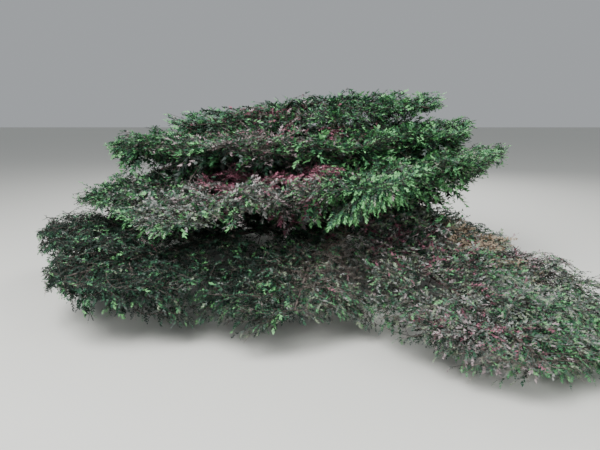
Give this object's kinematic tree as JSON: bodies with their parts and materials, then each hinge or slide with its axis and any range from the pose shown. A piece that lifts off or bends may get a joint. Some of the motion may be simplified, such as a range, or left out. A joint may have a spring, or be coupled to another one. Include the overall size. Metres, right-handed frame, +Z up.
{
  "type": "spreading prostrate spruce",
  "caption": "Low, wide conifer mound of layered spreading boughs on a short hidden stem, with a hanging lip, dark gaps between its layers and a carpet along the ground on one side.",
  "frame": {"origin": "centre of the flat cut under the stem, at ground level", "axes": "+Z up, +X towards the side where the boughs lie along the ground, +Y away from the side that the picture shows"},
  "size_m": [5.0251, 4.8223, 1.8322],
  "materials": {
    "bark": "rough grey-brown bark",
    "crown_needles": "fresh green needles with light tips",
    "upper_needles": "dark green needles with fresh tips",
    "middle_needles": "green and grey-green needles with brown inner shoots",
    "ground_needles": "dull olive needles with brown inner shoots"
  },
  "bodies": {
    "root": {"trunk": "bark", "upper_bough_1": "bark", "upper_bough_2": "bark", "upper_bough_3": "bark", "upper_bough_4": "bark", "upper_bough_5": "bark", "upper_bough_6": "bark", "upper_bough_7": "bark", "middle_bough_1": "bark", "middle_bough_2": "bark", "middle_bough_3": "bark", "middle_bough_4": "bark", "middle_bough_5": "bark", "middle_bough_6": "bark", "middle_bough_7": "bark", "middle_bough_8": "bark", "ground_bough_1": "bark", "ground_bough_2": "bark", "ground_bough_3": "bark", "ground_bough_4": "bark", "ground_bough_5": "bark", "ground_bough_6": "bark", "ground_bough_7": "bark", "ground_bough_8": "bark", "ground_bough_9": "bark", "ground_bough_10": "bark", "crown_foliage_1": "crown_needles", "crown_foliage_2": "crown_needles", "crown_foliage_3": "crown_needles", "crown_foliage_4": "crown_needles", "crown_foliage_5": "crown_needles", "upper_foliage_1": "upper_needles", "upper_foliage_2": "upper_needles", "upper_foliage_3": "upper_needles", "upper_foliage_4": "upper_needles", "upper_foliage_5": "upper_needles", "upper_foliage_6": "upper_needles", "upper_foliage_7": "upper_needles", "middle_foliage_1": "middle_needles", "middle_foliage_2": "middle_needles", "middle_foliage_3": "middle_needles", "middle_foliage_4": "middle_needles", "middle_foliage_5": "middle_needles", "middle_foliage_6": "middle_needles", "middle_foliage_7": "middle_needles", "middle_foliage_8": "middle_needles", "ground_foliage_1": "ground_needles", "ground_foliage_2": "ground_needles", "ground_foliage_3": "ground_needles", "ground_foliage_4": "ground_needles", "ground_foliage_5": "ground_needles", "ground_foliage_6": "ground_needles", "ground_foliage_7": "ground_needles", "ground_foliage_8": "ground_needles", "ground_foliage_9": "ground_needles", "ground_foliage_10": "ground_needles"}
  },
  "joints": []
}
